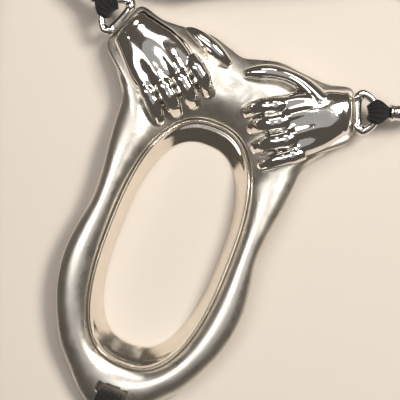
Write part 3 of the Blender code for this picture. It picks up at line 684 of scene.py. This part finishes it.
def make_sleeve():
    """The polished sleeve: its section, lip and tapering wall, on a smooth closed curve round each angle."""
    angle = np.radians(np.linspace(-90, 270, 400, endpoint=False))
    edge_x, edge_y = oval(angle)
    rim = plate_top(edge_x, edge_y, 0.0, angle)
    g, h, w = SLEEVE_GAP, LIP_HALF, SLEEVE_WALL
    in_x, in_y = SLEEVE_IN_SIDES, SLEEVE_IN_ENDS
    # How far in at the sides and at the ends, the share of the rim's height, and what is added to it
    rows = [
        (g, g, 1.0, -4 * h), (g, g, 1.0, -1.2 * h), (g + 0.25 * h, g + 0.25 * h, 1.0, 0.05),
        (g + h, g + h, 1.0, LIP_RISE + 0.12), (g + 1.75 * h, g + 1.75 * h, 1.0, 0.05),
        (g + 2.2 * h, g + 2.3 * h, 1.0, -0.9), (in_x * 0.52, in_y * 0.40, 0.70, 0.0),
        (in_x * 0.78, in_y * 0.70, 0.38, 0.0), (in_x, in_y, 0.0, 0.25),
        (in_x - w / 2, in_y - w / 2, 0.0, 0.0), (in_x - w, in_y - w, 0.0, 0.25),
        (in_x * 0.78 - w, in_y * 0.70 - w, 0.38, 0.0),
    ]
    spun = np.array(rows + rows[:3], float)
    steps = np.arange(len(spun))
    even = np.linspace(0, len(rows), 97)[:-1]
    section = np.stack([np.interp(even, steps, spun[:, k]) for k in range(4)], axis=1)
    for _ in range(3):
        section = (np.roll(section, 1, axis=0) + 2 * section + np.roll(section, -1, axis=0)) / 4
    sides, ends, share, add = (section[:, k][None, :] for k in range(4))
    x, y = oval(angle[:, None], sides, ends)
    z = np.maximum(rim[:, None] * share + add, 0.0)
    sleeve = skin("opening_sleeve_polished", placed(np.stack([x, y, z], axis=2)), SLEEVE, ring=True)
    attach(sleeve, "metalwork")
    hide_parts("opening_sleeve")


make_plate()
make_sleeve()


# ---------------------------------------------------------------- hands

# Each hand in millimetres, as if it were the right one.  Palm rows run from wrist to knuckles: middle x, y, the
# half width towards the forefinger as x, y, and the top's height.  Finger and thumb rows: x, y, z and radius.
RIGHT_HAND = {
    "palm": [(27.9, 43.0, -1.6, 4.4, 8.6), (27.0, 42.4, -1.8, 4.75, 9.2), (25.0, 41.1, -2.5, 5.2, 9.9),
             (21.5, 38.5, -3.4, 5.9, 10.5), (18.0, 36.2, -4.3, 6.1, 10.9), (15.3, 34.2, -4.7, 5.6, 10.5),
             (13.8, 33.1, -4.5, 5.0, 9.3)],
    "fingers": [
        [(13.6, 39.4, 8.0, 1.94), (11.2, 38.0, 8.7, 2.17), (8.6, 36.6, 8.5, 2.05),
         (6.6, 35.2, 7.2, 1.88), (5.2, 34.1, 5.6, 1.60)],
        [(15.8, 36.6, 8.3, 1.94), (13.4, 34.8, 9.0, 2.22), (10.7, 33.2, 8.9, 2.11),
         (8.8, 31.9, 7.6, 1.94), (7.6, 30.9, 5.9, 1.60)],
        [(18.6, 33.4, 8.3, 1.94), (16.5, 31.8, 9.0, 2.17), (13.6, 29.9, 8.8, 2.05),
         (11.4, 28.1, 7.6, 1.88), (10.1, 27.1, 6.0, 1.54)],
        [(21.2, 30.4, 7.9, 1.71), (19.2, 28.9, 8.5, 1.94), (16.4, 26.8, 8.3, 1.82),
         (14.3, 24.9, 7.5, 1.65), (13.1, 23.8, 6.3, 1.37)],
    ],
    "thumb": [(20.3, 42.4, 7.6, 2.6), (17.6, 43.8, 7.2, 2.2), (15.0, 44.8, 6.8, 1.85), (12.6, 45.2, 6.5, 1.65),
              (10.4, 45.2, 6.4, 1.65), (7.6, 44.8, 6.4, 1.8), (5.2, 43.9, 6.3, 1.75), (3.4, 43.1, 6.1, 1.45),
              (2.4, 42.6, 5.9, 1.2)],
    "web": [(20.0, 41.4, 7.4, 2.2), (17.4, 42.2, 7.0, 2.1), (15.4, 42.3, 6.5, 1.9)],
}
LEFT_HAND = {
    "palm": [(27.6, 43.1, -1.7, 4.3, 8.6), (26.8, 42.6, -2.0, 4.6, 9.2), (24.2, 41.4, -3.0, 5.0, 10.0),
             (20.5, 39.4, -4.0, 5.9, 10.8), (17.2, 37.2, -4.9, 6.1, 11.0), (14.0, 34.8, -5.0, 5.7, 10.7),
             (12.3, 33.5, -4.7, 5.1, 9.4)],
    "fingers": [
        [(11.4, 40.9, 8.2, 1.94), (8.9, 39.1, 8.9, 2.17), (6.6, 37.4, 8.6, 2.05),
         (5.0, 35.9, 7.3, 1.88), (4.0, 34.8, 5.7, 1.60)],
        [(13.4, 37.6, 8.5, 1.94), (10.9, 35.4, 9.2, 2.22), (8.6, 33.5, 8.9, 2.11),
         (7.0, 32.0, 7.6, 1.94), (6.1, 31.1, 5.9, 1.60)],
        [(16.4, 34.8, 8.5, 1.94), (14.0, 32.4, 9.2, 2.17), (11.6, 30.3, 8.8, 2.05),
         (10.1, 28.8, 7.6, 1.88), (9.2, 27.9, 6.0, 1.54)],
        [(19.4, 32.1, 8.1, 1.71), (17.1, 29.9, 8.7, 1.94), (14.8, 27.7, 8.3, 1.82),
         (13.2, 25.9, 7.5, 1.65), (12.3, 24.8, 6.3, 1.37)],
    ],
    "thumb": [(14.7, 47.0, 5.6, 0.35), (13.2, 46.9, 6.0, 0.95), (11.3, 46.4, 6.3, 1.45), (9.2, 45.7, 6.4, 1.75),
              (7.0, 44.9, 6.3, 1.85), (5.0, 44.1, 6.1, 1.65), (3.4, 43.5, 5.9, 1.3), (2.6, 43.2, 5.7, 1.05)],
    "web": [],
}
TENDONS = np.array([0.80, 0.30, -0.26, -0.76])
RELIEF = 0.62
FINGER_FOOT_Z = 2.0
# Swellings and the waist along a finger: the place as a share of its length, and the share of its radius
KNUCKLES = ((0.26, 0.02), (0.58, 0.04), (0.42, -0.05))
FINE = 0.15 * MM


def bar_on_plate(rows, bulges=()):
    """A rounded bar standing on the plate: half round above its line, with walls straight down below it.

    Its radius follows the rows, swells as a bell curve at each bulge and falls as a quarter circle at its tip.
    Over the section's turn, the upper half is a circle and the lower half a box with round corners.
    """
    path = through(rows, 0.22)
    t = np.linspace(0, 1, len(path))
    radius = path[:, 3].copy()
    for place, depth in bulges:
        radius *= 1 + depth * np.exp(-(((t - place) / 0.06) ** 2))
    centre = path[:, :3]
    ahead = unit(centre[-1] - centre[-3])
    s = np.linspace(0, 1, 9)[1:]
    centre = np.vstack([centre, centre[-1] + ahead * (s * radius[-1])[:, None]])
    radius = np.concatenate([radius, radius[-1] * np.sqrt(np.clip(1 - s**2, 0.02, 1))])
    turn = np.linspace(0, FULL_TURN, 36, endpoint=False)
    c, s = np.cos(turn), np.sin(turn)
    box = np.sign(c) * np.abs(c) ** 0.6
    across = radius[:, None] * np.where(s >= 0, c, box)
    drop = (centre[:, 2:3] - FINGER_FOOT_Z) * np.abs(s) ** 0.6
    over = np.where(s >= 0, radius[:, None] * s, -drop)
    run = np.gradient(centre[:, :2], axis=0)
    side = unit(np.stack([run[:, 1], -run[:, 0]], axis=1))
    x = centre[:, 0:1] + side[:, 0:1] * across
    y = centre[:, 1:2] + side[:, 1:2] * across
    return np.stack([x, y, centre[:, 2:3] + over], axis=2)


def palm_grid(rows):
    """The back of the hand: rounded sections from wrist to knuckles, with a tendon to each finger.

    Each section is a superellipse whose upper half carries a bell-shaped ridge at each tendon; the ridges grow
    with the distance from the wrist, and both ends close as a quarter ellipse.
    """
    path = through(np.array(rows), 0.25)
    t = np.linspace(0, 1, len(path))
    turn = np.linspace(0, FULL_TURN, 120, endpoint=False)
    c, s = np.cos(turn), np.sin(turn)
    wide = np.sign(c) * np.abs(c) ** (2 / 2.3)
    tall = np.sign(s) * np.abs(s) ** (2 / 2.2)
    grow = np.clip((t - 0.30) / 0.55, 0, 1)
    grow = grow * grow * (3 - 2 * grow)
    spread = np.exp(-(((wide[:, None] - TENDONS) / 0.135) ** 2)).sum(axis=1)
    ridge = grow[:, None] * (spread - 0.55)[None, :] * np.clip(tall, 0, 1)[None, :] * RELIEF
    ends = np.sqrt(np.clip(1 - np.clip((0.045 - t) / 0.06, 0, 1) ** 2, 0.05, 1))
    ends *= np.sqrt(np.clip(1 - np.clip((t - 0.93) / 0.085, 0, 1) ** 2, 0.05, 1))
    cuff = 1 + 0.02 * np.exp(-(((t - 0.06) / 0.022) ** 2)) - 0.02 * np.exp(-(((t - 0.115) / 0.025) ** 2))
    low = arch_height(path[:, 1]) - 2.2
    middle, half = (path[:, 4] + low) / 2, (path[:, 4] - low) / 2 * ends * cuff
    x = path[:, 0:1] + path[:, 2:3] * wide * (ends * cuff)[:, None]
    y = path[:, 1:2] + path[:, 3:4] * wide * (ends * cuff)[:, None]
    z = middle[:, None] + half[:, None] * tall[None, :] + ridge
    return np.stack([x, y, z], axis=2)


def make_hand(word, rows, side):
    """A hand in one casting: its bars and palm drawn together by a fine remesh, then smoothed."""
    grids = [palm_grid(rows["palm"])]
    grids += [bar_on_plate(finger, bulges=KNUCKLES) for finger in rows["fingers"]]
    grids.append(bar_on_plate(rows["thumb"]))
    if rows["web"]:
        grids.append(bar_on_plate(rows["web"]))
    pieces = [skin("part", placed(g * (side, 1, 1)), POLISHED) for g in grids]
    mesh = joined([p.data for p in pieces])
    for piece in pieces:
        bpy.data.objects.remove(piece)
    hand = finished(f"{word}_hand_cast", mesh, POLISHED)
    fine = hand.modifiers.new("fine", "REMESH")
    fine.mode, fine.voxel_size, fine.use_smooth_shade = "VOXEL", FINE, True
    even = hand.modifiers.new("even", "SMOOTH")
    even.factor, even.iterations = 0.5, 26
    made_fast(hand)
    hand.data.materials.clear()
    hand.data.materials.append(POLISHED)
    hand.data.shade_smooth()
    # The hollow values set where the painted shade lies on the hand
    hollow_of(hand, 14, 7.0)
    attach(hand, "metalwork")
    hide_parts(f"{word}_hand")


def joined(meshes):
    """One mesh with the points and faces of several."""
    points, faces, first = [], [], 0
    for mesh in meshes:
        co = np.zeros(len(mesh.vertices) * 3)
        mesh.vertices.foreach_get("co", co)
        points.append(co.reshape(-1, 3))
        faces += [[v + first for v in face.vertices] for face in mesh.polygons]
        first += len(mesh.vertices)
    one = bpy.data.meshes.new("joined")
    one.from_pydata(np.concatenate(points).tolist(), [], faces)
    return one


make_hand("right", RIGHT_HAND, 1)
make_hand("left", LEFT_HAND, -1)


# ---------------------------------------------------------------- rings, elastic loops and ferrules


def turned_to(points, middle, angle):
    """Points in millimetres drawn round a middle with +X outwards, turned about Z and moved there, in metres."""
    points = np.asarray(points, float)
    c, s = math.cos(angle), math.sin(angle)
    x = points[..., 0] * c - points[..., 1] * s
    y = points[..., 0] * s + points[..., 1] * c
    return np.stack([x, y, points[..., 2]], axis=-1) * MM + middle


def round_section(radius, sides=28):
    turn = np.linspace(0, FULL_TURN, sides, endpoint=False)
    return radius[:, None] * np.cos(turn) * MM, radius[:, None] * np.sin(turn) * MM


def eye_middle(side):
    """The middle of a strap eye's bow, out from the wrist's end along its angle, at the height of the CAD eye's
    middle, and the way it faces.
    """
    low, high = (np.array(c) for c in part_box("right_eye" if side > 0 else "left_eye"))
    x = (WRIST_END[0] + EYE_OUT * math.cos(WRIST_ANGLE)) * MM * side
    y = (WRIST_END[1] + EYE_OUT * math.sin(WRIST_ANGLE) + SHIFT[1]) * MM
    return np.array([x, y, (low[2] + high[2]) / 2]), WRIST_ANGLE if side > 0 else math.pi - WRIST_ANGLE


def make_eye(word, side):
    """A D of round wire, thickened into a bead where each leg meets the wrist."""
    arc = np.linspace(-EYE_ARC, EYE_ARC, 90)
    bow = np.stack([RING_RADIUS * np.cos(arc), RING_RADIUS * np.sin(arc), 0 * arc], axis=1)
    across = np.linspace(EYE_BACK, -EYE_BACK, 30)
    back = np.stack([0.0 * across + 0.1 * np.abs(across / EYE_BACK), across, 0 * across], axis=1)
    path = np.vstack([bow, back])
    bead = np.exp(-(((np.abs(path[:, 1]) - 3.9) / 0.9) ** 2)) * np.exp(-((path[:, 0] / 1.5) ** 2))
    middle, angle = eye_middle(side)
    across_part, over_part = round_section(WIRE_RADIUS + 0.42 * bead)
    wire = carried(turned_to(path, middle, angle), across_part, over_part, ring=True)
    eye = skin(f"{word}_eye_wire", wire, WIRE, ring=True)
    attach(eye, "metalwork")
    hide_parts(f"{word}_eye")
    return middle, angle


def loop_grid(line, half_width, bend, thick=0.85, ribs=5, samples=41):
    """Elastic folded over a bar: a ribbed band along a line of outward reach and height.

    A point q of the way across the band lies half_width x q to the side where the band runs straight, and on
    an arc about the ring's middle where it passes round the wire; bend, from 0 to 1, says which.
    """
    q = np.sin(np.linspace(-math.pi / 2, math.pi / 2, samples))
    body = np.sqrt(np.clip(1 - q**8, 0, 1))
    rib = -np.cos(math.pi * ribs * (q + 1)) * np.clip(1 - q**8, 0, 1)
    face = thick / 2 * body + 0.10 * rib
    q = np.concatenate([q, q[-2:0:-1]])
    off = np.concatenate([face, -face[-2:0:-1]])
    run = unit(np.gradient(line, axis=0))
    normal = np.stack([-run[:, 1], run[:, 0]], axis=1)
    reach = line[:, 0:1] + normal[:, 0:1] * off
    high = line[:, 1:2] + normal[:, 1:2] * off
    side = half_width[:, None] * q
    sweep = side / RING_RADIUS
    x = reach * (1 - bend[:, None]) + reach * np.cos(sweep) * bend[:, None]
    y = side * (1 - bend[:, None]) + reach * np.sin(sweep) * bend[:, None]
    return np.stack([x, y, high], axis=2)


def make_loop(name, node_name, middle, angle, body):
    """An elastic loop round a ring's wire: out of the ferrule, over the wire, under it and back."""
    away = WIRE_RADIUS + 0.3 + 0.5
    arc = np.linspace(math.radians(80), math.radians(280), 40)
    bow = np.stack([RING_RADIUS + away * np.cos(arc), away * np.sin(arc)], axis=1)
    lead = np.array([(9.3, 0.46), (8.2, 0.5), (7.2, 0.72), (5.8, 1.45)])
    line = through(np.vstack([lead, bow, lead[::-1] * (1, -1)]), 0.16)
    gathered = np.clip((line[:, 0] - 4.6) / (7.4 - 4.6), 0, 1)
    gathered = gathered * gathered * (3 - 2 * gathered)
    half_width = 2.85 + (1.15 - 2.85) * gathered
    grid = loop_grid(line, half_width, 1 - gathered)
    loop = skin(name, turned_to(grid, middle, angle), ELASTIC)
    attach(loop, body)
    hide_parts(node_name)
    return loop


def make_ferrule(name, node_name, middle, angle, body, start=FERRULE_START):
    """A crimped ferrule: a tube turned from a closed profile with rolled ends, pinched at its middle."""
    length = FERRULE_LENGTH
    half = np.array([
        (0.55, 1.62), (0.15, 1.78), (0.0, 1.92), (0.15, 2.04), (0.45, 2.05), (0.7, 1.93), (0.95, 1.84),
        (1.6, 1.82), (3.0, 1.82),
    ])
    other_half = (half * (-1, 1) + (length, 0))[::-1][1:]
    bore = [(length - 1.6, 1.50), (3.0, 1.48), (1.6, 1.50)]
    closed = through(np.vstack([half, other_half, bore, half[:1]]), 0.12)[:-1]
    turn = np.linspace(0, FULL_TURN, 64, endpoint=False)
    along, radius = closed[:, 0:1], closed[:, 1:2]
    pinch = np.exp(-(((along - length / 2) / 1.0) ** 2))
    dent = 1 - 0.16 * pinch * np.abs(np.sin(turn)) ** 3
    y = radius * np.cos(turn) * (1 + 0.05 * pinch)
    grid = np.stack([start + along + 0 * turn, y, radius * np.sin(turn) * dent], axis=2)
    ferrule = skin(name, turned_to(grid, middle, angle), WIRE, ring=True)
    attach(ferrule, body)
    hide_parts(node_name)
    return ferrule


def make_rear_loop():
    """The tail's elastic: 6 mm band through the slot and round the bar, gathered into its ferrule."""
    low, high = (np.array(c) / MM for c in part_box("rear_loop"))
    inner_y = high[1] - 0.45
    outer_y = -43.4 + SHIFT[1] - 0.75
    top, under = high[2] - 0.45, low[2] + 0.45
    bar_y = -41.5 + SHIFT[1]
    rows = [
        (-48.6, REAR_Z + 0.46), (-47.2, REAR_Z + 0.55), (-45.6, REAR_Z + 1.3), (outer_y + 0.1, 5.2),
        (outer_y + 1.5, top - 0.1), (bar_y, top), (inner_y - 0.8, top - 0.35), (inner_y, top - 1.5),
        (inner_y, 3.8), (inner_y - 0.5, under + 0.6), (inner_y - 1.6, under), (bar_y, under),
        (outer_y + 0.7, under + 0.2), (-45.9, REAR_Z - 0.9), (-47.2, REAR_Z - 0.55), (-48.6, REAR_Z - 0.46),
    ]
    line = through(np.array(rows), 0.18)
    gathered = np.clip((outer_y - 0.2 - line[:, 0]) / 3.4, 0, 1)
    gathered = gathered * gathered * (3 - 2 * gathered)
    half_width = BAND_WIDTH / 2 - 0.05 + (1.15 - BAND_WIDTH / 2 + 0.05) * gathered
    grid = loop_grid(line, half_width, 0 * gathered)
    points = np.stack([grid[..., 1], grid[..., 0], grid[..., 2]], axis=2) * MM
    loop = skin("rear_loop_elastic", points, ELASTIC)
    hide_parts("rear_loop")
    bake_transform(loop)


def make_back_ring(middle):
    turn = np.linspace(0, FULL_TURN, 120, endpoint=False)
    path = np.stack([RING_RADIUS * np.cos(turn), RING_RADIUS * np.sin(turn), 0 * turn], axis=1)
    across, over = round_section(np.full(len(path), WIRE_RADIUS))
    wire = carried(turned_to(path, middle, 0.0), across, over, ring=True)
    ring = skin("back_ring_wire", wire, WIRE, ring=True)
    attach(ring, "back_ring_body")
    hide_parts("back_ring")


def make_tie():
    """A ribbon tie round the coil: a thin flat band whose line is a rounded box about the coil's section."""
    angle = math.radians(48)
    turn = np.linspace(0, FULL_TURN, 120, endpoint=False)
    c, s = np.cos(turn), np.sin(turn)
    reach = 20.4 + 5.3 * np.sign(c) * np.abs(c) ** 0.5
    high = 3.1 + 3.0 * np.sign(s) * np.abs(s) ** 0.3
    out = unit(np.stack([c, s], axis=1))
    q = np.linspace(-1, 1, 15)
    edge = np.sqrt(np.clip(1 - q**6, 0, 1)) * 0.09
    q, off = np.concatenate([q, q[-2:0:-1]]), np.concatenate([edge, -edge[-2:0:-1]])
    x = reach[:, None] + out[:, 0:1] * off
    z = np.clip(high[:, None] + out[:, 1:2] * off, 0.01, None)
    y = 0 * x + 2.0 * q
    middle = placed([(*COIL_MIDDLE, 0.0)])[0]
    tie = skin("coil_tie_ribbon", turned_to(np.stack([x, y, z], axis=2), middle, angle), TIE, ring=True)
    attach(tie, "metalwork")
    return tie


places = {word: make_eye(word, side) for word, side in (("left", -1), ("right", 1))}
for word, (middle, angle) in places.items():
    make_loop(f"{word}_loop_elastic", f"{word}_loop", middle, angle, f"{word}_strap_end")
    make_ferrule(f"{word}_ferrule_crimped", f"{word}_ferrule", middle, angle, f"{word}_strap_end")
rear_start = np.array([0.0, (REAR_FERRULE_Y + SHIFT[1]) * MM, REAR_Z * MM])
make_ferrule("rear_ferrule_crimped", "rear_ferrule", rear_start, math.radians(-90), "rear_strap_end",
             start=0.0)
make_rear_loop()

ring_middle = middle_of("back_ring")
make_back_ring(ring_middle)
tie = make_tie()
# Each strap, with its elastic loop and crimped ferrule at the back ring
for word, route in (("left", LEFT_ROUTE), ("right", RIGHT_ROUTE), ("rear", REAR_ROUTE)):
    angle = BACK_ANGLES[word]
    loop = make_loop(f"{word}_back_loop_elastic", f"{word}_back_loop", ring_middle, angle, "metalwork")
    ferrule = make_ferrule(f"{word}_back_ferrule_crimped", f"{word}_back_ferrule", ring_middle, angle,
                           "metalwork")
    strap, centre = make_strap(word, route)
    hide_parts(f"{word}_strap", *(["strap_roll"] if word == "rear" else []))

for pin in ("left_wrist_peg", "left_palm_peg", "right_wrist_peg", "right_palm_peg"):
    pin_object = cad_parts[pin]
    pin_object.data.materials.clear()
    pin_object.data.materials.append(PEG)
